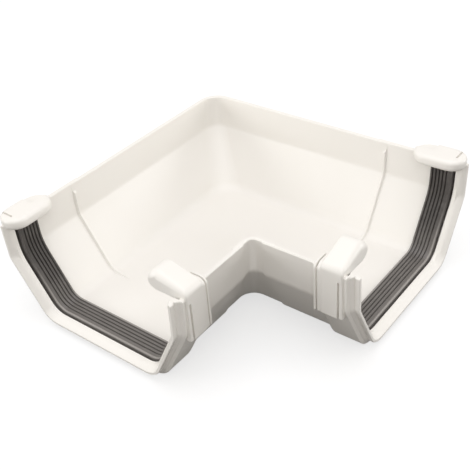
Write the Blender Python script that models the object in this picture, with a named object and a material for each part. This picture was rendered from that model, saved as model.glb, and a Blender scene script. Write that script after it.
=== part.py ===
"""Right-angle gutter bend in moulded uPVC, with a rubber seal and two retaining clips in each socket.

The two arms meet at 90 degrees. Arm "x" runs along +X and arm "y" along -Y, and they mirror each other
across the diagonal. The origin is where the arms' centre lines cross, on the trough's flat underside.

Sizes are in millimetres. A place in an arm has three numbers:
  across   from the arm's centre line, minus towards the outer wall, plus towards the inner wall
  along    from the crossing of the centre lines towards the mouth
  height   above the trough's underside
A depth is measured inwards from the trough's outer face, so a swelling has a negative depth.
"""

import math

import bmesh
import bpy

MM = 0.001

# Trough section, on its outer face: an upright band above a slanted band, then the flat floor
RIM_HEIGHT = 56.7
RIM_HALF = 59.9
BAND_HEIGHT = 21.4
BAND_SPLAY = 0.6
OUTER_SLANT = 21.1
INNER_SLANT = 17.4
WALL = 2.5
KINK_ROUND = 8.0
FOOT_ROUND = 11.0
RIM_ROUND = 0.6

# Plan of the bend
OUTER_BEND = 12.8
INNER_BEND = 3.8
FOOT_BEND_MORE = 6.4
BEND_CLEARANCE = 2.8

# Socket, measured back from the mouth, and the raised line that marks how far the gutter goes in
SOCKET_DEPTH = 49.4
SOCKET_EASE = 0.6
SOCKET_LEAD = 6.6
SOCKET_STEP = 0.5
STOP_HEIGHT = 1.0
STOP_WIDTH = 2.3
STOP_BELOW_RIM = 4.3
STOP_FADE = 15.0
STOP_TOP_FADE = 1.2

# Housing, the swelling round the seal's groove, and the lip in front of it
HOUSING_SWELL = 3.2
HOUSING_LEAD = 0.4
HOUSING_RAMP = 5.4
HOUSING_EASE = 0.2
SHELF_EDGE = 0.8
SHELF_WIDTH = 0.9
SHELF_SWELL = 1.5
VALLEY_SETBACK = 3.0
LIP_INSET = 0.3
LIP_WALL = 3.2
MOUTH_WALL = 1.6
MOUTH_ROUND = 0.5

# Seal and its groove
GROOVE_FRONT_WALL = 0.2
GROOVE_WIDTH = 14.9
GROOVE_DEPTH = 2.0
GROOVE_DRAFT = 0.3
GROOVE_KINK_ROUND = 30.0
GROOVE_FOOT_ROUND = 14.0
SEAL_GAP = 0.3
SEAL_FRONT_GAP = 1.1
SEAL_SLOTS = 5
SEAL_SLOT_DEPTH = 0.9
SEAL_BACK_SHARE = 0.116
SEAL_PITCH_SHARE = 0.153
SEAL_SLOT_SHARE = 0.036
SEAL_BEAD_SHARE = 0.1
SEAL_BEAD = 0.3
SEAL_EDGE = 0.3
SEAL_PROUD_FRONT = 2.1
SEAL_PROUD_BACK = 3.5
SEAL_TOP_GAP = 0.8

# Clips: a tongue between two ribs on the wall's outside, with a crown or a cap over the rim
CLIP_SETBACK = 19.4
TONGUE_WIDTH = 9.6
TONGUE_PROUD = 4.3
TONGUE_BELOW_KINK = 5.3
TONGUE_CHAMFER = 1.0
BAND_WIDTH = 1.8
BAND_LAP = 1.0
CLIP_SLIT = 0.8
BACK_RIB_WIDTH = 1.3
FRONT_RIB_WIDTH = 1.8
RIB_INSET = 0.3
ROOT_STEP = 0.15
SADDLE_REACH = 6.4
SADDLE_RISE = 3.3
SADDLE_THICK = 1.6
CROWN_SOLE = 2.2
CROWN_RISE = 3.8
CROWN_WIDTH = 12.4
CROWN_STEP = 0.1
CROWN_SHOULDER = 4.0
CROWN_EDGE = 1.8
NOSE_ROUND = 5.45
NOSE_REACH = 14.65
CAP_LENGTH = 30.6
CAP_SETBACK = 0.7
CAP_OVERHANG = 5.4
CAP_WIDTH = 17.1
CAP_RISE = 4.3
CAP_EDGE = 2.2
CAP_SLOT = 1.2
CAP_SLOT_DEPTH = 1.5
CAP_SLOT_INSET = 4.4
CAP_SLOT_SIDE = 2.1
CAP_SLOT_LENGTH = 8.0
CAP_NOTCH_LENGTH = 11.2
CAP_NOTCH_WIDTH = 8.6
CAP_NOTCH_DEPTH = 1.9
CLIP_EDGE = 0.4

BEND_STEPS = 8
FOOT_STEPS = 6
KINK_STEPS = 4
FLOOR_STEPS = 6
NOSE_STEPS = 9
CAP_STEPS = 8

KINK_HEIGHT = RIM_HEIGHT - BAND_HEIGHT
KINK_HALF = RIM_HALF - BAND_SPLAY
OUTER_FOOT = KINK_HALF - OUTER_SLANT
INNER_FOOT = KINK_HALF - INNER_SLANT
ARM_LENGTH = RIM_HALF + INNER_BEND + BEND_CLEARANCE + SOCKET_LEAD + SOCKET_DEPTH
STOP_TOP = RIM_HEIGHT - STOP_BELOW_RIM
TONGUE_FOOT = KINK_HEIGHT - TONGUE_BELOW_KINK

ARMS = ("x", "y")
OUTER, INNER = -1, 1
TROUGH_ROUNDS = (KINK_ROUND, FOOT_ROUND)
GROOVE_ROUNDS = (GROOVE_KINK_ROUND, GROOVE_FOOT_ROUND)


def clear_scene():
    for obj in list(bpy.data.objects):
        bpy.data.objects.remove(obj)


def material(name, colour, roughness):
    made = bpy.data.materials.new(name)
    made.use_nodes = True
    shader = made.node_tree.nodes["Principled BSDF"]
    shader.inputs["Base Color"].default_value = (*colour, 1.0)
    shader.inputs["Roughness"].default_value = roughness
    shader.inputs["Metallic"].default_value = 0.0
    return made


def at(arm, across, along, height):
    """The point in metres that lies there in this arm."""
    x, y = (along, -across) if arm == "x" else (across, -along)
    return (x * MM, y * MM, height * MM)


def meet(first, second):
    """Where two lines cross, each given by a point and a direction."""
    (px, py), (ux, uy) = first
    (qx, qy), (vx, vy) = second
    reach = ((qx - px) * vy - (qy - py) * vx) / (ux * vy - uy * vx)
    return (px + ux * reach, py + uy * reach)


def arc(centre, radius, start, sweep, steps):
    return [
        (
            centre[0] + radius * math.cos(start + sweep * step / steps),
            centre[1] + radius * math.sin(start + sweep * step / steps),
        )
        for step in range(steps + 1)
    ]


def rounded(corner, before, after, radius, steps):
    """The corner as an arc of this radius, between the directions of its two neighbours."""
    to_before = math.atan2(before[1] - corner[1], before[0] - corner[0])
    to_after = math.atan2(after[1] - corner[1], after[0] - corner[0])
    turn = (to_after - to_before + math.pi) % (2 * math.pi) - math.pi
    half = abs(turn) / 2
    middle = to_before + turn / 2
    away = radius / math.sin(half)
    centre = (corner[0] + away * math.cos(middle), corner[1] + away * math.sin(middle))
    start = to_before + math.copysign(math.pi / 2, -turn)
    return arc(centre, radius, start, math.copysign(math.pi - 2 * half, -turn), steps)


def section(depth, top, rounds=TROUGH_ROUNDS):
    """The trough's section at this depth below its outer face, from the outer rim to the inner rim.

    Each upright band has two points more than its ends, where the stop line fades out below the rim.
    """
    corners = [
        (-RIM_HALF, RIM_HEIGHT),
        (-KINK_HALF, KINK_HEIGHT),
        (-OUTER_FOOT, 0.0),
        (INNER_FOOT, 0.0),
        (KINK_HALF, KINK_HEIGHT),
        (RIM_HALF, RIM_HEIGHT),
    ]
    fade_top = STOP_TOP + STOP_TOP_FADE
    lines = []
    for (ax, az), (bx, bz) in zip(corners, corners[1:]):
        length = math.hypot(bx - ax, bz - az)
        ux, uz = (bx - ax) / length, (bz - az) / length
        lines.append(((ax - uz * depth, az + ux * depth), (ux, uz)))
    level = ((0.0, top), (1.0, 0.0))
    lines = [level, *lines, level]
    inset = [meet(first, second) for first, second in zip(lines, lines[1:])]
    start, outer_kink, outer_foot, inner_foot, inner_kink, end = inset
    kink, foot = (radius - depth for radius in rounds)
    outer_bends = rounded(outer_kink, start, outer_foot, kink, KINK_STEPS)
    outer_bends += rounded(outer_foot, outer_kink, inner_foot, foot, FOOT_STEPS)
    inner_bends = rounded(inner_foot, outer_foot, inner_kink, foot, FOOT_STEPS)
    inner_bends += rounded(inner_kink, inner_foot, end, kink, KINK_STEPS)
    left, right = outer_bends[-1], inner_bends[0]
    floor = [between(left, right, step / FLOOR_STEPS) for step in range(1, FLOOR_STEPS)]
    outer_band = [reach_height(start, outer_bends[0], height) for height in (fade_top, STOP_TOP)]
    inner_band = [reach_height(end, inner_bends[-1], height) for height in (STOP_TOP, fade_top)]
    return [start, *outer_band, *outer_bends, *floor, *inner_bends, *inner_band, end]


def between(first, second, share):
    return tuple(a + (b - a) * share for a, b in zip(first, second))


def reach_height(first, second, height):
    """The point of the line through these two that lies at this height."""
    return between(first, second, (height - first[1]) / (second[1] - first[1]))


def wall_share(across):
    """1 on the walls, falling to 0 over STOP_FADE on the floor."""
    foot = OUTER_FOOT if across < 0 else INNER_FOOT
    return min(1.0, max(0.0, (abs(across) - foot + STOP_FADE) / STOP_FADE))


def inner_face(depth, ease, ridge, top, rounds):
    """The wall's inner face: eased outwards on the walls, and raised there by a ridge that ends below the rim."""
    points = []
    for first, second in zip(section(depth, top, rounds), section(depth + 1.0, top, rounds)):
        below = min(1.0, max(0.0, (STOP_TOP + STOP_TOP_FADE - first[1]) / STOP_TOP_FADE))
        relief = wall_share(first[0]) * (ridge * below - ease)
        points.append(between(first, second, relief))
    return points


def wall_ring(outer_depth, inner_depth, ease=0.0, ridge=0.0, rounds=TROUGH_ROUNDS):
    """One closed loop round the trough's wall."""
    brim = RIM_HEIGHT - RIM_ROUND
    outside = section(outer_depth, brim)
    inside = inner_face(inner_depth, ease, ridge, brim, rounds)
    outer_edge = section(outer_depth + RIM_ROUND, RIM_HEIGHT)
    inner_edge = inner_face(inner_depth - RIM_ROUND, ease, 0.0, RIM_HEIGHT, rounds)
    return [*outside, outer_edge[-1], inner_edge[-1], *reversed(inside), inner_edge[0], outer_edge[0]]


def bend_radius(across, height, depth):
    """The plan radius of the bend at a point of the section: the walls stay an even thickness."""
    low = FOOT_BEND_MORE * (1.0 - min(1.0, max(0.0, height) / KINK_HEIGHT))
    outer, inner = OUTER_BEND - depth + low, INNER_BEND + depth + low
    share = min(1.0, max(0.0, (across + OUTER_FOOT) / (OUTER_FOOT + INNER_FOOT)))
    return outer + (inner - outer) * share


def bend_rings():
    """The rings through the corner, from arm y to arm x."""
    ring = wall_ring(0.0, WALL)
    face = len(ring) // 2 - 2
    rim = [RIM_ROUND, WALL - RIM_ROUND]
    depths = [0.0] * face + rim + [WALL] * face + rim[::-1]
    rings = []
    for step in range(BEND_STEPS + 1):
        angle = math.pi - math.pi / 2 * step / BEND_STEPS
        points = []
        for (across, height), depth in zip(ring, depths):
            radius = bend_radius(across, height, depth)
            centre = across + radius
            x, y = centre + radius * math.cos(angle), -centre + radius * math.sin(angle)
            points.append((x * MM, y * MM, height * MM))
        rings.append(points)
    return rings


def front_places():
    """Where the housing's shoulder, the shelf in front of it and the valley lie along the arm."""
    valley = ARM_LENGTH - VALLEY_SETBACK
    shelf_end = valley - SHELF_EDGE
    shelf_start = shelf_end - SHELF_WIDTH
    return shelf_start - SHELF_EDGE, shelf_start, shelf_end, valley


def groove_span():
    """Where the seal's groove starts and ends along the arm."""
    front = front_places()[0] - GROOVE_FRONT_WALL
    return front - GROOVE_WIDTH, front


def socket_rings(arm):
    """The wall's rings from the bend to this arm's mouth."""
    stop = ARM_LENGTH - SOCKET_DEPTH
    step = stop - SOCKET_LEAD
    back, front = groove_span()
    swell_end = back - HOUSING_LEAD
    swell_start = swell_end - HOUSING_RAMP
    shoulder, shelf_start, shelf_end, valley = front_places()
    plain, full = -SOCKET_EASE, -HOUSING_SWELL
    groove = WALL - SOCKET_EASE - GROOVE_DEPTH
    lip = LIP_INSET + LIP_WALL
    stations = [
        (step, 0.0, WALL),
        (step + SOCKET_STEP, plain, WALL),
        (stop - STOP_WIDTH, plain, WALL),
        (stop - STOP_WIDTH * 0.7, plain, WALL, 0.0, STOP_HEIGHT),
        (stop - STOP_WIDTH * 0.3, plain, WALL, 0.0, STOP_HEIGHT),
        (stop, plain, WALL, SOCKET_EASE),
        (swell_start, plain, WALL, SOCKET_EASE),
        (swell_start + HOUSING_RAMP * 0.2, plain - HOUSING_EASE, WALL, SOCKET_EASE),
        (swell_end - HOUSING_RAMP * 0.2, full + HOUSING_EASE, WALL, SOCKET_EASE),
        (swell_end, full, WALL, SOCKET_EASE),
        (back, full, WALL, SOCKET_EASE, 0.0, GROOVE_ROUNDS),
        (back + GROOVE_DRAFT, full, groove, 0.0, 0.0, GROOVE_ROUNDS),
        (front - GROOVE_DRAFT, full, groove, 0.0, 0.0, GROOVE_ROUNDS),
        (front, full, lip, 0.0, 0.0, GROOVE_ROUNDS),
        (shoulder, full, lip, 0.0, 0.0, GROOVE_ROUNDS),
        (shelf_start, -SHELF_SWELL, lip, 0.0, 0.0, GROOVE_ROUNDS),
        (shelf_end, -SHELF_SWELL * 0.7, lip, 0.0, 0.0, GROOVE_ROUNDS),
        (valley, LIP_INSET, lip - LIP_INSET),
        (valley + SHELF_EDGE, -LIP_INSET / 2, lip - LIP_INSET * 2),
        (ARM_LENGTH - MOUTH_ROUND, -LIP_INSET, MOUTH_WALL),
        (ARM_LENGTH, 0.0, MOUTH_WALL - LIP_INSET),
    ]
    return [
        [at(arm, across, along, height) for across, height in wall_ring(*rest)] for along, *rest in stations
    ]


def loft(rings):
    """One closed solid through rings of points, made by extruding its first face from ring to ring."""
    mesh = bmesh.new()
    corners = [mesh.verts.new(point) for point in rings[0]]
    face = mesh.faces.new(corners)
    for count, ring in enumerate(rings[1:]):
        made = bmesh.ops.extrude_face_region(mesh, geom=[face])
        if count:
            mesh.faces.remove(face)
        face = next(part for part in made["geom"] if isinstance(part, bmesh.types.BMFace))
        copies = {corner.co.copy().freeze(): corner for corner in face.verts}
        corners = [copies[corner.co.copy().freeze()] for corner in corners]
        for corner, point in zip(corners, ring):
            corner.co = point
    bmesh.ops.recalc_face_normals(mesh, faces=mesh.faces)
    return mesh


def soften(mesh, corners, offset, segments):
    """Rounds the edges round each face that has this many corners."""
    caps = [face for face in mesh.faces if len(face.verts) == corners]
    edges = list({edge for face in caps for edge in face.edges})
    bmesh.ops.bevel(
        mesh,
        geom=edges,
        offset=offset * MM,
        segments=segments,
        profile=0.5,
        affect="EDGES",
        clamp_overlap=True,
        material=-1,
    )


def node(name, mesh, finish=None):
    """A smooth-shaded object made from this mesh."""
    data = bpy.data.meshes.new(name)
    mesh.to_mesh(data)
    mesh.free()
    if finish:
        data.materials.append(finish)
    data.shade_smooth()
    data.set_sharp_from_angle(angle=math.radians(35))
    obj = bpy.data.objects.new(name, data)
    bpy.context.collection.objects.link(obj)
    return obj


def helper(name, mesh):
    """An object that only joins or cuts another, and isn't rendered."""
    obj = node(name, mesh)
    obj.hide_render = True
    obj.display_type = "WIRE"
    return obj


def boolean(target, name, tools, operation):
    """Joins or cuts the target with all these tools at once."""
    group = bpy.data.collections.new(name)
    bpy.context.scene.collection.children.link(group)
    for tool in tools:
        bpy.context.collection.objects.unlink(tool)
        group.objects.link(tool)
    modifier = target.modifiers.new(name, "BOOLEAN")
    modifier.operation = operation
    modifier.solver = "EXACT"
    modifier.operand_type = "COLLECTION"
    modifier.collection = group


def settled(obj):
    """The object with its Booleans worked out, and its shading taken afresh from the mesh they leave."""
    solved = obj.evaluated_get(bpy.context.evaluated_depsgraph_get())
    data = bpy.data.meshes.new_from_object(solved)
    obj.modifiers.clear()
    obj.data = data
    data.shade_smooth()
    data.set_sharp_from_angle(angle=math.radians(35))
    shading = obj.modifiers.new("even_shading", "WEIGHTED_NORMAL")
    shading.keep_sharp = True
    return obj


def trough(finish):
    """The channel and both sockets as one moulding."""
    rings = [*reversed(socket_rings("y")), *bend_rings(), *socket_rings("x")]
    return node("angle_body", loft(rings), finish)


def run(name, arm, stations, edge, segments=2):
    """Outlines of the section joined along the arm, with the edges of both ends rounded."""
    mesh = loft(
        [[at(arm, across, along, height) for across, height in outline] for along, outline in stations]
    )
    soften(mesh, len(stations[0][1]), edge, segments)
    return helper(name, mesh)


def clip_root(step=0):
    """A line inside the housing's wall, from the tongue's foot up to the rim: each clip piece grows from it.

    Pieces that touch take different steps, so that their hidden faces don't coincide.
    """
    middle = (HOUSING_SWELL + SOCKET_EASE + GROOVE_DEPTH - WALL) / 2 - ROOT_STEP * step
    slant = math.atan2(KINK_HEIGHT, KINK_HALF - (OUTER_FOOT + INNER_FOOT) / 2)
    foot = KINK_HALF + middle / math.sin(slant) - (KINK_HEIGHT - TONGUE_FOOT) / math.tan(slant)
    return (foot, TONGUE_FOOT), (KINK_HALF + middle, KINK_HEIGHT + TONGUE_CHAMFER)


def mirrored(points, side):
    return [(side * across, height) for across, height in points]


def foot_points(face, step):
    """The foot of a clip piece: out of the wall, then up its face."""
    foot, bend = clip_root(step)
    heel = (face - TONGUE_CHAMFER, TONGUE_FOOT)
    toe = (face, TONGUE_FOOT + TONGUE_CHAMFER)
    return [foot, heel, toe], bend


def tongue_outline(proud, step):
    """A raised pad on the wall's outside, from its foot up into the cap or crown."""
    face = RIM_HALF + proud
    low, bend = foot_points(face, step)
    head = RIM_HEIGHT + TONGUE_CHAMFER
    return [*low, (face, head), (bend[0], head), bend]


def saddle_outline(proud, step):
    """A narrow band that climbs the wall's outside and bends over the rim."""
    face = RIM_HALF + proud
    low, bend = foot_points(face, step)
    crest = RIM_HEIGHT + SADDLE_RISE - ROOT_STEP * step
    tip = RIM_HALF - SADDLE_REACH
    under = RIM_HEIGHT - SADDLE_THICK / 2
    shoulder = rounded((face, crest), (face, under), (tip, crest), CROWN_SHOULDER, 4)
    nose = rounded((tip, crest), (face, crest), (tip, under), SADDLE_THICK, 3)
    return [*low, *shoulder, *nose, (tip, under), (bend[0], under), bend]


def crown_outline(low):
    """The crown over the inner rim: an upright back, a top that rises inwards, and a round nose.

    Its first three points and its last one are the foot of the face below, which the crown alone doesn't have.
    """
    face = RIM_HALF + TONGUE_PROUD
    foot, bend = foot_points(face, 0)
    sole = RIM_HEIGHT - CROWN_SOLE
    centre = (RIM_HALF - NOSE_REACH, sole + NOSE_ROUND)
    shoulder = (face, RIM_HEIGHT + CROWN_RISE)
    gap = math.hypot(shoulder[0] - centre[0], shoulder[1] - centre[1])
    towards = math.atan2(shoulder[1] - centre[1], shoulder[0] - centre[0])
    top = towards + math.acos(min(1.0, NOSE_ROUND / gap))
    nose = arc(centre, NOSE_ROUND, top, 1.5 * math.pi - top, NOSE_STEPS)
    if not low:
        hem = sole - CROWN_SOLE
        foot = [(bend[0], hem), (face - TONGUE_CHAMFER, hem), (face, hem + TONGUE_CHAMFER)]
        bend = (bend[0], (hem + sole) / 2)
    upper = rounded(shoulder, foot[-1], nose[0], CROWN_SHOULDER, 4)
    return [*foot, *upper, *nose, (bend[0], sole), bend]


def clip_ribs(arm, side):
    """The band beside the tongue and the two ribs on one wall. On the inner wall they bend over the rim."""
    name = f"{arm}_{'outer' if side == OUTER else 'inner'}"
    tongue = ARM_LENGTH - CLIP_SETBACK
    band = tongue - BAND_WIDTH
    before = band - CLIP_SLIT
    after = tongue + TONGUE_WIDTH + CLIP_SLIT
    rib = TONGUE_PROUD - RIB_INSET
    outline = saddle_outline if side == INNER else tongue_outline
    pieces = {
        "band": (outline(rib, 1), band, tongue + BAND_LAP),
        "back_rib": (outline(rib, 2), before - BACK_RIB_WIDTH, before),
        "front_rib": (tongue_outline(rib, 2), after, after + FRONT_RIB_WIDTH),
    }
    return [
        run(f"{piece}_{name}", arm, [(place, mirrored(points, side)) for place in ends], CLIP_EDGE)
        for piece, (points, *ends) in pieces.items()
    ]


def inner_clip(arm):
    """The tongue and the crown on the inner wall as one solid. The crown goes on past the tongue's end."""
    start = ARM_LENGTH - CLIP_SETBACK
    end = start + TONGUE_WIDTH
    stations = [
        (start, crown_outline(low=True)),
        (end, crown_outline(low=True)),
        (end + CROWN_STEP, crown_outline(low=False)),
        (start + CROWN_WIDTH, crown_outline(low=False)),
    ]
    return run(f"crown_{arm}", arm, stations, CROWN_EDGE, 3)


def outer_tongue(arm):
    start = ARM_LENGTH - CLIP_SETBACK
    points = mirrored(tongue_outline(TONGUE_PROUD, 0), OUTER)
    return run(f"tongue_{arm}", arm, [(start, points), (start + TONGUE_WIDTH, points)], CLIP_EDGE)


def cap_centre():
    """Where the outer cap's plan is centred: across and along."""
    return CAP_WIDTH / 2 - RIM_HALF - CAP_OVERHANG, ARM_LENGTH - CAP_SETBACK - CAP_LENGTH / 2


def outer_cap(arm):
    """The flat cap over the outer rim, with half-round ends and a rounded top edge."""
    across, along = cap_centre()
    radius = CAP_WIDTH / 2
    straight = CAP_LENGTH / 2 - radius
    plan = arc((across, along + straight), radius, 0.0, math.pi, CAP_STEPS)
    plan += arc((across, along - straight), radius, math.pi, math.pi, CAP_STEPS)
    heights = (RIM_HEIGHT - CROWN_SOLE, RIM_HEIGHT + CAP_RISE)
    mesh = loft([[at(arm, *point, height) for point in plan] for height in heights])
    soften(mesh, len(plan), CAP_EDGE, 3)
    return helper(f"cap_{arm}", mesh)


def top_cutter(name, arm, across, along, depth):
    """A block that cuts this rectangle of the cap's top down to this depth."""
    top = RIM_HEIGHT + CAP_RISE
    corners = [(across[0], along[0]), (across[1], along[0]), (across[1], along[1]), (across[0], along[1])]
    rings = [[at(arm, x, y, height) for x, y in corners] for height in (top - depth, top + CAP_SLOT_DEPTH)]
    return helper(f"{name}_{arm}", loft(rings))


def cap_cuts(arm):
    """The cutters for the narrow slot near the cap's front end and the notch in its back outer corner."""
    along = cap_centre()[1]
    outer = -RIM_HALF - CAP_OVERHANG
    near = outer + CAP_SLOT_SIDE
    slot_end = along + CAP_LENGTH / 2 - CAP_SLOT_INSET
    back = along - CAP_LENGTH / 2
    slot = ((near, near + CAP_SLOT_LENGTH), (slot_end - CAP_SLOT, slot_end))
    notch = (
        (outer - CAP_SLOT_SIDE, outer + CAP_NOTCH_WIDTH),
        (back - CAP_SLOT_SIDE, back + CAP_NOTCH_LENGTH),
    )
    return [
        top_cutter("cap_slot", arm, *slot, CAP_SLOT_DEPTH),
        top_cutter("cap_notch", arm, *notch, CAP_NOTCH_DEPTH),
    ]


def angle_body(finish):
    """The whole moulding: trough, sockets and clips."""
    body = trough(finish)
    clips, cuts = [], []
    for arm in ARMS:
        clips += [*clip_ribs(arm, OUTER), *clip_ribs(arm, INNER), inner_clip(arm), outer_tongue(arm)]
        clips.append(outer_cap(arm))
        cuts += cap_cuts(arm)
    boolean(body, "clips", clips, "UNION")
    boolean(body, "cap_cuts", cuts, "DIFFERENCE")
    return settled(body)


def seal_profile():
    """The seal's own section: places along the arm and depths, over the slots and the front bead to the bed."""
    back, front = groove_span()
    face = WALL - SOCKET_EASE
    bed = face - GROOVE_DEPTH + SEAL_GAP
    start = back + GROOVE_DRAFT + SEAL_GAP
    length = front - GROOVE_DRAFT - SEAL_FRONT_GAP - start

    def crest(share):
        return face + SEAL_PROUD_BACK + (SEAL_PROUD_FRONT - SEAL_PROUD_BACK) * share

    steps = [(0.0, SEAL_EDGE), (SEAL_EDGE / length, 0.0)]
    for slot in range(SEAL_SLOTS):
        middle = SEAL_BACK_SHARE + slot * SEAL_PITCH_SHARE
        for side, sunk in ((-1.0, 0.0), (-0.3, SEAL_SLOT_DEPTH), (0.3, SEAL_SLOT_DEPTH), (1.0, 0.0)):
            steps.append((middle + side * SEAL_SLOT_SHARE, sunk))
    steps += [(1.0 - SEAL_BEAD_SHARE, 0.0), (1.0 - 0.7 * SEAL_BEAD_SHARE, -SEAL_BEAD)]
    steps += [(1.0 - 0.3 * SEAL_BEAD_SHARE, -SEAL_BEAD), (1.0, 0.0)]
    section_points = [(start + share * length, crest(share) - sunk) for share, sunk in steps]
    return [(start, bed), *section_points, (start + length, bed)]


def seal(arm, finish):
    """One rubber strip that lines the socket from rim to rim, in its groove."""
    top = RIM_HEIGHT - CROWN_SOLE - SEAL_TOP_GAP
    columns = [(along, section(depth, top, GROOVE_ROUNDS)) for along, depth in seal_profile()]
    rings = [
        [at(arm, points[place][0], along, points[place][1]) for along, points in columns]
        for place in range(len(columns[0][1]))
    ]
    return node(f"seal_{arm}", loft(rings), finish)


def main():
    clear_scene()
    plastic = material("white_upvc", (0.87, 0.85, 0.81), 0.35)
    rubber = material("grey_rubber", (0.05, 0.047, 0.045), 0.6)
    angle_body(plastic)
    for arm in ARMS:
        seal(arm, rubber)


main()
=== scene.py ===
"""Dresses the right-angle gutter bend: a white uPVC moulding with a ridged rubber seal in each socket.

The bend lies open side up on a pale floor under soft studio light. One arm runs along +X and the other along
-Y. The origin is where their centre lines cross, on the trough's flat underside. Lengths are in metres.
"""

from __future__ import annotations

import logging
import math
from dataclasses import dataclass, field
from enum import Enum
from typing import Mapping, Sequence, Union

import bmesh
import bpy
from mathutils import Matrix, Vector


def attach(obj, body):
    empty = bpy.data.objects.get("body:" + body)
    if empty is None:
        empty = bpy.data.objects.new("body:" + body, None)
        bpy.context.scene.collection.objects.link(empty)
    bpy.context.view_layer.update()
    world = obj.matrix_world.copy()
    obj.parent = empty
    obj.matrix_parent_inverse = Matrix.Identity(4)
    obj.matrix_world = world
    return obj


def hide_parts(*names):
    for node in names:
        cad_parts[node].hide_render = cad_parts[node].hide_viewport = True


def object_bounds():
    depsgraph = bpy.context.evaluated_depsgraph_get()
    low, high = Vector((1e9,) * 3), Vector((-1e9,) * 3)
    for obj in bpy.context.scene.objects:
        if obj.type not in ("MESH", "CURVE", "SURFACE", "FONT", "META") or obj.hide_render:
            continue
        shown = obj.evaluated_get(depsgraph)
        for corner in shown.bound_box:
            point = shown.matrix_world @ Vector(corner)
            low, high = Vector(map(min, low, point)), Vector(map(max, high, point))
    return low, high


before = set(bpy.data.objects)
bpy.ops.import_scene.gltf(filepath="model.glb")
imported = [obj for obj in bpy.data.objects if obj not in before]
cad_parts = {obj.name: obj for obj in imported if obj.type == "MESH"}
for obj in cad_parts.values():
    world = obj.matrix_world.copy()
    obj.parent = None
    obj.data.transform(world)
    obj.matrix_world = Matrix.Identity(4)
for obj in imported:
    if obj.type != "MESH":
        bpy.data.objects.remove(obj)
CAD_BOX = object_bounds()

MM = 0.001
NOISE_MIDDLE = 0.5
REFRACTION = 1.5
log = logging.getLogger("gutter_angle")

Colour = tuple[float, float, float]
Span = tuple[float, float]
Number = Union[float, "Value"]

WHITE: Colour = (1.0, 1.0, 1.0)


class Arm(Enum):
    """The two arms of the bend, named by the axis that each runs along."""

    X = "x"
    Y = "y"

    @property
    def along(self) -> Vector:
        """The way from the corner to the arm's mouth."""
        return Vector((1, 0, 0)) if self is Arm.X else Vector((0, -1, 0))

    @property
    def outwards(self) -> Vector:
        """The way from the arm's inner wall to its outer wall."""
        return Vector((0, 1, 0)) if self is Arm.X else Vector((-1, 0, 0))


class Ray(Enum):
    """The kinds of ray that a stage surface tells apart."""

    CAMERA = "Is Camera Ray"
    GLOSSY = "Is Glossy Ray"
    TRANSMISSION = "Is Transmission Ray"


def within(number: float, span: Span) -> bool:
    """Tells whether a number lies between the two ends of a span."""
    return span[0] < number < span[1]


class Value:
    """A number in a shader, carried by a node socket and used in plain arithmetic."""

    def __init__(self, graph: Graph, socket: bpy.types.NodeSocket) -> None:
        """Keeps the shader and its output that carries the number."""
        self.graph = graph
        self.socket = socket

    def _joined(self, operation: str, first: Number, second: Number) -> Value:
        """Adds a Math node for the operation on the two numbers."""
        return self.graph.add("ShaderNodeMath", {"operation": operation}, {0: first, 1: second})

    def __add__(self, other: Number) -> Value:
        """The sum."""
        return self._joined("ADD", self, other)

    __radd__ = __add__

    def __sub__(self, other: Number) -> Value:
        """This less the other."""
        return self._joined("SUBTRACT", self, other)

    def __rsub__(self, other: Number) -> Value:
        """The other less this."""
        return self._joined("SUBTRACT", other, self)

    def __mul__(self, other: Number) -> Value:
        """The product."""
        return self._joined("MULTIPLY", self, other)

    __rmul__ = __mul__

    def largest(self, other: Number) -> Value:
        """The larger of the two."""
        return self._joined("MAXIMUM", self, other)

    def ramp(self, low: float, high: float) -> Value:
        """A smooth step from 0 at the low value to 1 at the high one.

        Args:
            low: Where the step starts.
            high: Where it ends, which may be below its start.

        Returns:
            The step's height.
        """
        return self.graph.add(
            "ShaderNodeMapRange",
            {"interpolation_type": "SMOOTHSTEP"},
            {"Value": self, "From Min": low, "From Max": high},
        )


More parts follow.
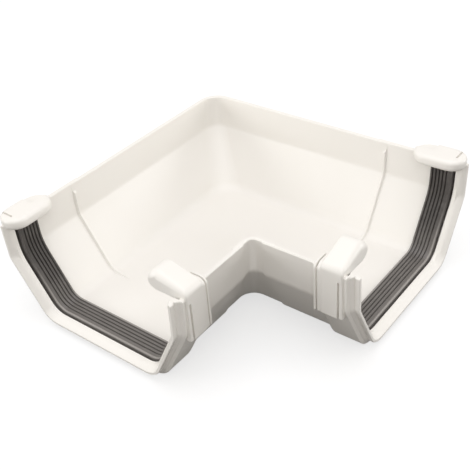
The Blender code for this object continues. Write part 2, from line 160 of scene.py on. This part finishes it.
class Graph:
    """The node tree of one material or of the world."""

    def __init__(self, owner: Union[bpy.types.Material, bpy.types.World]) -> None:
        """Starts an empty node tree.

        Args:
            owner: The new material or world that the tree belongs to.
        """
        self.owner = owner
        owner.use_nodes = True
        self.tree = owner.node_tree
        self.tree.nodes.clear()

    def node(
        self, kind: str, settings: Mapping[str, object], inputs: Mapping[Union[int, str], object]
    ) -> bpy.types.Node:
        """Adds one node, sets it up and fills its sockets.

        Args:
            kind: The node's type.
            settings: The properties to set before its sockets are filled.
            inputs: What goes to each socket: a number, a colour, a Value or another node's output.

        Returns:
            The node.
        """
        made = self.tree.nodes.new(kind)
        for key, setting in settings.items():
            setattr(made, key, setting)
        for key, given in inputs.items():
            socket = made.inputs[key]
            if isinstance(given, Value):
                self.tree.links.new(given.socket, socket)
            elif isinstance(given, bpy.types.NodeSocket):
                self.tree.links.new(given, socket)
            elif isinstance(given, tuple) and socket.type == "RGBA":
                socket.default_value = (*given, 1.0)
            else:
                socket.default_value = given
        return made

    def add(
        self,
        kind: str,
        settings: Mapping[str, object],
        inputs: Mapping[Union[int, str], object],
        output: Union[int, str] = 0,
    ) -> Value:
        """Adds one node and returns one of its outputs."""
        return Value(self, self.node(kind, settings, inputs).outputs[output])

    def place(self) -> Value:
        """The point's own place on the object, in metres."""
        return self.add("ShaderNodeTexCoord", {}, {}, "Object")

    def noise(self, place: Value, size: float, detail: float, rough: float = 0.5) -> Value:
        """Soft noise.

        Args:
            place: The coordinates that it is read at.
            size: The width of one blotch, in metres.
            detail: How many finer layers it has.
            rough: How strong those are.

        Returns:
            A number about 0.5.
        """
        return self.add(
            "ShaderNodeTexNoise",
            {},
            {"Vector": place, "Scale": 1.0 / size, "Detail": detail, "Roughness": rough},
        )

    def mix(self, share: Value, first: object, second: object) -> Value:
        """A blend of two colours.

        Args:
            share: 0 for the first colour and 1 for the second.
            first: A colour or a Value.
            second: A colour or a Value.

        Returns:
            The blend.
        """
        return self.add("ShaderNodeMix", {"data_type": "RGBA"}, {0: share, 6: first, 7: second}, 2)

    def glossy(
        self, tint: Value, rough: Value, height: Value, depth: float, strength: float
    ) -> bpy.types.Node:
        """Adds a glossy surface with a fine relief.

        Args:
            tint: Its colour.
            rough: Its roughness.
            height: The relief's height over the surface.
            depth: How deep a height of 1 is, in metres.
            strength: How much of the relief shows.

        Returns:
            The surface's shader.
        """
        bump = self.node("ShaderNodeBump", {}, {"Height": height, "Distance": depth, "Strength": strength})
        return self.node(
            "ShaderNodeBsdfPrincipled",
            {},
            {"Base Color": tint, "Roughness": rough, "Normal": bump.outputs[0], "IOR": REFRACTION},
        )

    def finish(
        self, shader: bpy.types.Node, output: str = "ShaderNodeOutputMaterial"
    ) -> Union[bpy.types.Material, bpy.types.World]:
        """Sends the shader to the surface.

        Args:
            shader: The node that makes the surface.
            output: The type of the tree's last node.

        Returns:
            The finished material or world.
        """
        self.node(output, {}, {"Surface": shader.outputs[0]})
        return self.owner


@dataclass(frozen=True)
class WhitePlastic:
    """Warm white uPVC with the soft gloss of a moulding.

    Attributes:
        colour: Its usual colour.
        shade: The slightly deeper colour of its blotches.
        shaded: Where the blotches' noise turns from the one colour to the other.
        roughness: Its middle roughness.
        roughness_spread: How far the roughness goes up and down.
        blotch: The width of one blotch.
        grain: The width of one grain of the surface.
        fine_layers: How many finer layers the blotches and the grain have.
        grain_edge: How strong the grain's finer layers are.
        wave_share: The width of the surface's slow waves as a share of a blotch.
        grain_height: How high the grain stands in the relief.
        wave_height: How high the waves stand in the relief.
        relief: How deep the relief is.
        relief_strength: How much of the relief shows.
    """

    colour: Colour = (0.88, 0.857, 0.816)
    shade: Colour = (0.87, 0.846, 0.800)
    shaded: Span = (0.45, 0.8)
    roughness: float = 0.34
    roughness_spread: float = 0.10
    blotch: float = 0.045
    grain: float = 0.0011
    fine_layers: float = 3.0
    grain_edge: float = 0.6
    wave_share: float = 0.4
    grain_height: float = 0.3
    wave_height: float = 4.0
    relief: float = 0.00002
    relief_strength: float = 0.6

    def make(self) -> bpy.types.Material:
        """Builds the material.

        Returns:
            The material.
        """
        graph = Graph(bpy.data.materials.new("warm_white_upvc"))
        place = graph.place()
        blotch = graph.noise(place, self.blotch, self.fine_layers)
        grain = graph.noise(place, self.grain, self.fine_layers, self.grain_edge)
        waves = graph.noise(place, self.blotch * self.wave_share, 1.0)
        tint = graph.mix(blotch.ramp(*self.shaded), self.colour, self.shade)
        fine = (grain - NOISE_MIDDLE) * self.roughness_spread
        broad = (blotch - NOISE_MIDDLE) * self.roughness_spread
        rough = self.roughness + fine + broad
        height = grain * self.grain_height + waves * self.wave_height
        return graph.finish(graph.glossy(tint, rough, height, self.relief, self.relief_strength))


@dataclass(frozen=True)
class GreyRubber:
    """Dark warm grey rubber with a dull sheen, lighter along the trough's floor, and with a painted
    highlight on its front bead and on the back of its run along the floor.

    Attributes:
        low: Its colour along the floor.
        high: Its colour up the walls.
        heights: Where it turns from the one to the other.
        dusty: The colour of its film of dust.
        dust_share: How much of that film shows where it is thickest.
        dust: Where the clouds of dust start and are full, in their noise.
        painted_highlight: The colour of the painted highlight on the bead and on the back of the run along
            the floor.
        bead: Where along the arm the bead's painted highlight begins and is full.
        bead_front: Where along the arm the bead's painted highlight ends and is still full.
        bead_fade: The height at which the bead's painted highlight is gone, and below which it is full.
        back: Where along the arm the painted highlight on the back ends and is full.
        foot: The height at which the back's painted highlight is gone, and below which it is full.
        back_share: How strong the back's painted highlight is, against the bead's.
        roughness: Its middle roughness.
        roughness_spread: How far the roughness goes up and down.
        grain: The width of one grain of the surface.
        grain_layers: How many finer layers the grain has.
        grain_edge: How strong the grain's finer layers are.
        cloud_grains: The width of a cloud of dust, in grains.
        cloud_layers: How many finer layers the clouds have.
        relief: How deep the grain is.
        relief_strength: How much of the grain shows.
    """

    low: Colour = (0.150, 0.138, 0.129)
    high: Colour = (0.066, 0.059, 0.055)
    heights: Span = (0.002, 0.029)
    dusty: Colour = (0.190, 0.177, 0.165)
    dust_share: float = 0.35
    dust: Span = (0.4, 0.75)
    # The colour of the painted highlight on the front bead and on the back of the run along the floor.
    painted_highlight: Colour = (0.33, 0.31, 0.29)
    bead: Span = (0.1138, 0.1144)
    bead_front: Span = (0.1154, 0.1149)
    bead_fade: Span = (0.034, 0.004)
    back: Span = (0.1039, 0.1033)
    foot: Span = (0.012, 0.004)
    back_share: float = 0.8
    roughness: float = 0.42
    roughness_spread: float = 0.16
    grain: float = 0.0007
    grain_layers: float = 4.0
    grain_edge: float = 0.6
    cloud_grains: float = 12.0
    cloud_layers: float = 2.0
    relief: float = 0.00003
    relief_strength: float = 0.7

    def make(self) -> bpy.types.Material:
        """Builds the material.

        Returns:
            The material.
        """
        graph = Graph(bpy.data.materials.new("dark_grey_rubber"))
        place = graph.place()
        grain = graph.noise(place, self.grain, self.grain_layers, self.grain_edge)
        cloud = graph.noise(place, self.grain * self.cloud_grains, self.cloud_layers)
        parts = graph.node("ShaderNodeSeparateXYZ", {}, {0: place})
        across, along_y, height = (Value(graph, parts.outputs[axis]) for axis in range(3))
        along = across.largest(0.0 - along_y)
        # Painted highlight: the front bead and the back of the run along the floor are lightened to stand in
        # for the light that they catch, fading out up the walls.
        back = along.ramp(*self.back) * height.ramp(*self.foot) * self.back_share
        bead = along.ramp(*self.bead) * along.ramp(*self.bead_front) * height.ramp(*self.bead_fade)
        clean = graph.mix(height.ramp(*self.heights), self.low, self.high)
        dull = graph.mix(cloud.ramp(*self.dust) * self.dust_share, clean, self.dusty)
        tint = graph.mix(bead.largest(back), dull, self.painted_highlight)
        rough = self.roughness + (grain - NOISE_MIDDLE) * self.roughness_spread
        return graph.finish(graph.glossy(tint, rough, grain, self.relief, self.relief_strength))


@dataclass(frozen=True)
class PaleFloor:
    """A pale floor that looks white and keeps the object's soft shadow.

    Attributes:
        seen: The part of its colour that the lamps light, and that a shadow darkens.
        glow: The part that is always there.
        mirrored: Its colour in reflections.
        lit: Its colour as it throws light back at the object.
    """

    seen: Colour = (0.36, 0.36, 0.36)
    glow: float = 0.66
    mirrored: Colour = (0.86, 0.86, 0.86)
    lit: Colour = (0.048, 0.036, 0.027)

    def make(self) -> bpy.types.Material:
        """Builds the material.

        Returns:
            The material.
        """
        graph = Graph(bpy.data.materials.new("pale_floor"))
        rays = graph.node("ShaderNodeLightPath", {}, {})
        camera, glossy, through = (
            Value(graph, rays.outputs[ray.value]) for ray in (Ray.CAMERA, Ray.GLOSSY, Ray.TRANSMISSION)
        )
        dull, pale, white = (
            graph.node("ShaderNodeBsdfDiffuse", {}, {"Color": colour})
            for colour in (self.lit, self.mirrored, self.seen)
        )
        light = graph.node("ShaderNodeEmission", {}, {"Color": WHITE, "Strength": self.glow})
        bright = graph.node("ShaderNodeAddShader", {}, {0: white.outputs[0], 1: light.outputs[0]})
        bounced = graph.node(
            "ShaderNodeMixShader", {}, {0: glossy.largest(through), 1: dull.outputs[0], 2: pale.outputs[0]}
        )
        return graph.finish(
            graph.node("ShaderNodeMixShader", {}, {0: camera, 1: bounced.outputs[0], 2: bright.outputs[0]})
        )


@dataclass(frozen=True)
class StopLineTop:
    """The top of the stop line on each outer wall, where line and step run out below the rim.

    Attributes:
        wall: How far out from the arm's centre line the line's top lies.
        step: Where along the arm the line and the step lie.
        crest: The height of the line's upper end.
        rim: The height of the step's upper end.
        drop: How far the line's upper end comes down.
        run_out: How far back the step's upper end goes.
    """

    wall: Span = (55.0 * MM, 58.3 * MM)
    step: Span = (70.6 * MM, 72.6 * MM)
    crest: Span = (52.0 * MM, 54.0 * MM)
    rim: Span = (55.5 * MM, 57.0 * MM)
    drop: float = 2.1 * MM
    run_out: float = 5.0 * MM

    def shape(self, mesh: bmesh.types.BMesh) -> None:
        """Ends both stop lines lower and spreads the step above them.

        Args:
            mesh: The moulding's mesh.
        """
        for arm in Arm:
            line = [
                point
                for point in mesh.verts
                if within(point.co @ arm.along, self.step) and within(point.co @ arm.outwards, self.wall)
            ]
            crest = [point for point in line if within(point.co.z, self.crest)]
            rim = [point for point in line if within(point.co.z, self.rim)]
            bmesh.ops.translate(mesh, verts=crest, vec=(0.0, 0.0, -self.drop))
            bmesh.ops.translate(mesh, verts=rim, vec=arm.along * -self.run_out)


@dataclass(frozen=True)
class CrownRing:
    """One ring of points round a crown's end.

    Attributes:
        place: Where along the arm the ring lies.
        back: How far its top moves back.
        sink: How far its top sinks.
    """

    place: float
    back: float
    sink: float


@dataclass(frozen=True)
class CrownShoulder:
    """The rounding of each crown's end, made fuller at the top than at the foot.

    Attributes:
        rings: The rings of points round the end, from the crown's flat top to its mouth-side face.
        reach: How far from its place a ring's points may lie.
        sides: How far in from the arm's centre line the crown starts and ends.
        foot: The height of the end's foot, which stays where it is.
        top: The height of the crown's top.
    """

    rings: tuple[CrownRing, ...] = (
        CrownRing(114.40 * MM, 2.9 * MM, 0.0),
        CrownRing(114.95 * MM, 1.45 * MM, 0.4 * MM),
        CrownRing(115.35 * MM, 0.4 * MM, 1.45 * MM),
        CrownRing(115.50 * MM, 0.0, 2.9 * MM),
    )
    reach: float = 0.07 * MM
    sides: Span = (39.5 * MM, 64.3 * MM)
    foot: float = 57.3 * MM
    top: float = 65.36 * MM

    def shape(self, mesh: bmesh.types.BMesh) -> None:
        """Rounds both crowns' ends.

        Args:
            mesh: The moulding's mesh.
        """
        tall = self.top - self.foot
        from_foot = Matrix.Translation((0.0, 0.0, -self.foot))
        for arm in Arm:
            upper = [
                point
                for point in mesh.verts
                if point.co.z > self.foot and within(-(point.co @ arm.outwards), self.sides)
            ]
            found = [
                [point for point in upper if abs(point.co @ arm.along - ring.place) < self.reach]
                for ring in self.rings
            ]
            for points, ring in zip(found, self.rings):
                lean = Matrix.Identity(4)
                for row in range(3):
                    lean[row][2] -= arm.along[row] * ring.back / tall
                lean[2][2] -= ring.sink / tall
                bmesh.ops.transform(mesh, matrix=lean, space=from_foot, verts=points)


@dataclass
class DressedNode:
    """A CAD solid shown as one welded, smooth-shaded piece.

    Attributes:
        source: The solid's name.
        name: The piece's name.
        slot: The name of its material slot; not used.
        details: The small changes to its surface.
        weld: How close two corners are when they are one.
        crease: The angle between two faces from which their edge stays sharp.
        evenness: How far the large faces lead the shading.
    """

    source: str
    name: str
    slot: str
    details: Sequence[Union[StopLineTop, CrownShoulder]] = ()
    weld: float = 0.002 * MM
    crease: float = math.radians(33)
    evenness: int = 90

    def build(self, finish: bpy.types.Material) -> bpy.types.Object:
        """Makes the piece from the solid's own surface.

        Args:
            finish: The material that it gets.

        Returns:
            The piece.
        """
        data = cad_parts[self.source].data.copy()
        data.name = self.name
        data.materials.clear()
        data.materials.append(finish)
        mesh = bmesh.new()
        mesh.from_mesh(data)
        bmesh.ops.remove_doubles(mesh, verts=mesh.verts, dist=self.weld)
        for detail in self.details:
            detail.shape(mesh)
        mesh.to_mesh(data)
        mesh.free()
        if data.has_custom_normals:
            data.attributes.remove(data.attributes["custom_normal"])
        data.shade_smooth()
        data.set_sharp_from_angle(angle=self.crease)
        piece = bpy.data.objects.new(self.name, data)
        bpy.context.scene.collection.objects.link(piece)
        even = piece.modifiers.new("even_shading", "WEIGHTED_NORMAL")
        even.keep_sharp = True
        even.weight = self.evenness
        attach(piece, "root")
        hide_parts(self.source)
        return piece


@dataclass
class SoftBox:
    """A rectangular studio lamp that looks at the object from one side.

    Attributes:
        name: The lamp's name.
        azimuth: The side that it stands on, in degrees from +X towards +Y.
        elevation: How high it stands, in degrees above the floor.
        strength: How brightly it lights the object.
        width: Its width.
        height: Its height.
        reach: How far it stands from the point that it looks at.
        aim: That point.
        colour: The colour of its light.
    """

    name: str
    azimuth: float
    elevation: float
    strength: float
    width: float
    height: float
    reach: float = 1.6
    aim: tuple[float, float, float] = (0.03, -0.03, 0.03)
    colour: Colour = WHITE

    def build(self) -> bpy.types.Object:
        """Makes the lamp, with the power that lights the object to its strength.

        Returns:
            The lamp.
        """
        data = bpy.data.lights.new(self.name, "AREA")
        data.shape = "RECTANGLE"
        data.size = self.width
        data.size_y = self.height
        data.energy = self.strength * math.pi * self.reach**2
        data.color = self.colour
        turn, rise = math.radians(self.azimuth), math.radians(self.elevation)
        away = Vector((math.cos(turn) * math.cos(rise), math.sin(turn) * math.cos(rise), math.sin(rise)))
        lamp = bpy.data.objects.new(self.name, data)
        lamp.location = Vector(self.aim) + away * self.reach
        lamp.rotation_mode = "QUATERNION"
        lamp.rotation_quaternion = away.to_track_quat("Z", "Y")
        bpy.context.scene.collection.objects.link(lamp)
        return lamp


@dataclass
class Studio:
    """The floor, the lamps and the pale surroundings.

    Attributes:
        floor_half: Half the floor's side.
        ambient: The strength of the surroundings' light.
        ambient_colour: The colour of that light.
        lamps: The lamps.
    """

    floor_half: float = 3.0
    ambient: float = 0.71
    ambient_colour: Colour = (1.0, 0.975, 0.93)
    lamps: Sequence[SoftBox] = field(
        default_factory=lambda: (
            SoftBox("overhead", -50.0, 90.0, 0.82, 1.2, 1.2, colour=(0.985, 0.985, 1.07)),
            SoftBox("left_side", 228.0, 14.0, 0.84, 0.6, 0.6),
            SoftBox("right_side", 42.0, 13.0, 0.70, 0.6, 0.6),
            SoftBox("front_high", -50.0, 41.0, 0.62, 1.2, 0.8),
        )
    )

    def build(self, floor_height: float) -> None:
        """Makes the floor, the lamps and the world.

        Args:
            floor_height: The height that the floor lies at.
        """
        mesh = bmesh.new()
        bmesh.ops.create_grid(mesh, x_segments=1, y_segments=1, size=self.floor_half)
        bmesh.ops.translate(mesh, verts=mesh.verts, vec=(0.0, 0.0, floor_height))
        data = bpy.data.meshes.new("floor")
        mesh.to_mesh(data)
        mesh.free()
        data.materials.append(PaleFloor().make())
        floor = bpy.data.objects.new("floor", data)
        bpy.context.scene.collection.objects.link(floor)
        for lamp in self.lamps:
            lamp.build()
        self.surround()

    def surround(self) -> None:
        """Makes the world: soft light for the object, and plain white to the camera."""
        graph = Graph(bpy.data.worlds.new("surroundings"))
        rays = graph.node("ShaderNodeLightPath", {}, {})
        soft, white = (
            graph.node("ShaderNodeBackground", {}, {"Color": colour, "Strength": strength})
            for colour, strength in ((self.ambient_colour, self.ambient), (WHITE, 1.0))
        )
        choice = graph.node(
            "ShaderNodeMixShader",
            {},
            {0: rays.outputs[Ray.CAMERA.value], 1: soft.outputs[0], 2: white.outputs[0]},
        )
        bpy.context.scene.world = graph.finish(choice, "ShaderNodeOutputWorld")


@dataclass
class Viewpoint:
    """The camera, where the object is seen from above its inner corner.

    Attributes:
        place: Where it stands.
        right: The way that is to the right in its picture.
        down: The way that is down in its picture.
        forward: The way that it looks.
        lens: Its focal length, in millimetres.
        sensor: The width of its sensor, in millimetres.
        shift_x: How far its view is moved right, as a share of the picture's width.
        shift_y: How far its view is moved up, as a share of the picture's width.
        sight: The nearest and the farthest distance that it sees.
    """

    place: tuple[float, float, float] = (0.26068, -0.31264, 0.29268)
    right: tuple[float, float, float] = (0.79401, 0.60398, -0.06892)
    down: tuple[float, float, float] = (0.31282, -0.50317, -0.80559)
    forward: tuple[float, float, float] = (-0.52124, 0.61809, -0.58846)
    lens: float = 60.96
    sensor: float = 36.0
    shift_x: float = 0.0066
    shift_y: float = 0.0038
    sight: Span = (0.01, 20.0)

    def build(self) -> bpy.types.Object:
        """Makes the camera and looks through it.

        Returns:
            The camera.
        """
        data = bpy.data.cameras.new("viewpoint")
        data.sensor_width = self.sensor
        data.lens = self.lens
        data.shift_x = self.shift_x
        data.shift_y = self.shift_y
        data.clip_start, data.clip_end = self.sight
        camera = bpy.data.objects.new("viewpoint", data)
        turn = Matrix((self.right, -Vector(self.down), -Vector(self.forward))).transposed()
        camera.matrix_world = Matrix.Translation(self.place) @ turn.to_4x4()
        bpy.context.scene.collection.objects.link(camera)
        bpy.context.scene.camera = camera
        return camera


def main() -> None:
    """Builds the camera, the dressed pieces and the studio in order."""
    logging.basicConfig(level=logging.INFO, format="%(name)s %(message)s")
    bpy.context.scene.view_settings.view_transform = "Standard"
    Viewpoint().build()
    plastic = WhitePlastic().make()
    rubber = GreyRubber().make()
    moulding = DressedNode("angle_body", "moulding", "white_upvc", (StopLineTop(), CrownShoulder()))
    seals = [DressedNode(f"seal_{arm.value}", f"seal_strip_{arm.value}", "grey_rubber") for arm in Arm]
    for dressed, finish in zip((moulding, *seals), (plastic, rubber, rubber)):
        piece = dressed.build(finish)
        log.info("%s: %d faces", piece.name, len(piece.data.polygons))
    Studio().build(CAD_BOX[0].z)


if __name__ == "__main__":
    main()
